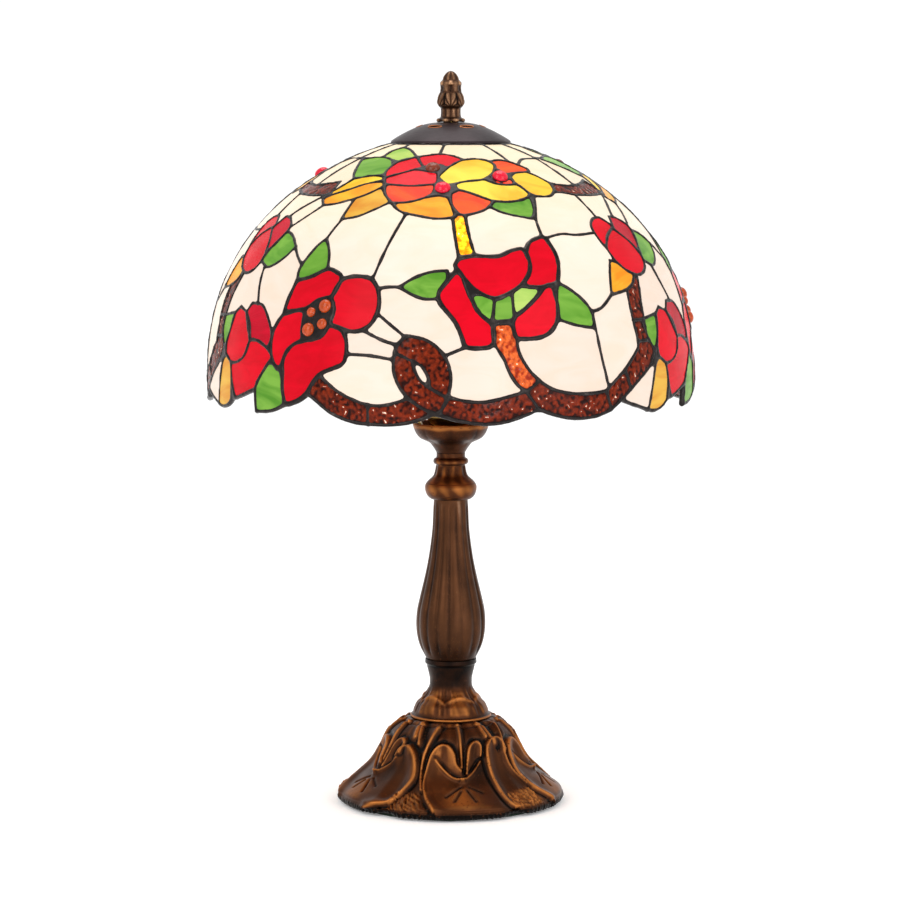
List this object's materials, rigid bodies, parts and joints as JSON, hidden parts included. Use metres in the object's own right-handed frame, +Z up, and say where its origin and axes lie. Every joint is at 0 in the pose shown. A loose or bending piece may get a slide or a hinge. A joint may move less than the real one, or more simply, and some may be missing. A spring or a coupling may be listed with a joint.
{
  "type": "stained glass table lamp",
  "caption": "Table lamp with a leaded glass dome shade of ruby flowers on ivory, a vented cap and finial, and a fluted cast bronze stand on a round lobed base.",
  "frame": {"origin": "centre of the underside of the base, on the surface that the lamp stands on", "axes": "+Z up along the column, front of the lamp towards -Y, +X to the right seen from the front"},
  "size_m": [0.3053, 0.3052, 0.461],
  "materials": {
    "antique_bronze": "antique bronze patina over cast metal, satin, brighter copper on raised edges",
    "dark_patina": "dark brown-black patina, satin",
    "brass": "satin",
    "steel": "zinc plated",
    "cast_iron": "rough cast",
    "felt": "pressed felt",
    "rubber": "matt",
    "black_plastic": "moulded",
    "bulb_glass": "frosted, lit",
    "ivory_glass": "opalescent, glossy, lit from inside",
    "ruby_glass": "opalescent, glossy, lit from inside",
    "green_glass": "streaked opalescent, glossy",
    "amber_glass": "streaked opalescent, glossy",
    "brown_glass": "rippled, glossy"
  },
  "bodies": {
    "stand": {"base_shell": "antique_bronze", "base_weight": "cast_iron", "base_felt": "felt", "bottom_nut": "steel", "cord_grommet": "rubber", "threaded_rod": "steel", "foot_neck": "antique_bronze", "column_body": "antique_bronze", "column_knob": "antique_bronze", "husk_cup": "antique_bronze", "saddle_lock_nut": "steel", "harp_saddle": "brass", "harp_wire": "brass", "harp_stud": "brass", "socket_cap": "brass", "socket_shell": "brass", "socket_insulator": "black_plastic", "screw_shell": "brass", "centre_contact": "brass"},
    "shade": {"shade_top_ring": "brass", "shade_cap": "dark_patina", "rose_1": "ruby_glass", "leaf_1": "green_glass", "star_flower_1": "ruby_glass", "heart_flower_1": "ruby_glass", "bud_1": "ruby_glass", "crown_flower_1": "amber_glass", "ribbon_1": "brown_glass", "upper_ground_1": "ivory_glass", "left_ground_1": "ivory_glass", "middle_ground_1": "ivory_glass", "right_ground_1": "ivory_glass", "rose_2": "ruby_glass", "leaf_2": "green_glass", "star_flower_2": "ruby_glass", "heart_flower_2": "ruby_glass", "bud_2": "ruby_glass", "crown_flower_2": "amber_glass", "ribbon_2": "brown_glass", "upper_ground_2": "ivory_glass", "left_ground_2": "ivory_glass", "middle_ground_2": "ivory_glass", "right_ground_2": "ivory_glass", "rose_3": "ruby_glass", "leaf_3": "green_glass", "star_flower_3": "ruby_glass", "heart_flower_3": "ruby_glass", "bud_3": "ruby_glass", "crown_flower_3": "amber_glass", "ribbon_3": "brown_glass", "upper_ground_3": "ivory_glass", "left_ground_3": "ivory_glass", "middle_ground_3": "ivory_glass", "right_ground_3": "ivory_glass"},
    "finial": {"finial": "antique_bronze"},
    "bulb": {"bulb_base": "steel", "bulb_glass": "bulb_glass"},
    "switch_key": {"switch_key": "black_plastic"},
    "left_ferrule": {"left_ferrule": "brass"},
    "right_ferrule": {"right_ferrule": "brass"}
  },
  "joints": [
    {"name": "shade_swivel", "type": "hinge", "parent": "stand", "child": "shade", "pos_m": [0, 0, 0.415], "axis": [0, 0, 1], "continuous": true},
    {"name": "finial_turn", "type": "hinge", "parent": "stand", "child": "finial", "pos_m": [0, 0, 0.43], "axis": [0, 0, 1], "continuous": true},
    {"name": "bulb_turn", "type": "hinge", "parent": "stand", "child": "bulb", "pos_m": [0, 0, 0.27], "axis": [0, 0, 1], "continuous": true},
    {"name": "switch_key_turn", "type": "hinge", "parent": "stand", "child": "switch_key", "pos_m": [0, -0.03, 0.2565], "axis": [0, -1, 0], "continuous": true},
    {"name": "left_ferrule_slide", "type": "slide", "parent": "stand", "child": "left_ferrule", "axis": [0, 0, 1], "range_m": [0, 0.012]},
    {"name": "right_ferrule_slide", "type": "slide", "parent": "stand", "child": "right_ferrule", "axis": [0, 0, 1], "range_m": [0, 0.012]}
  ]
}
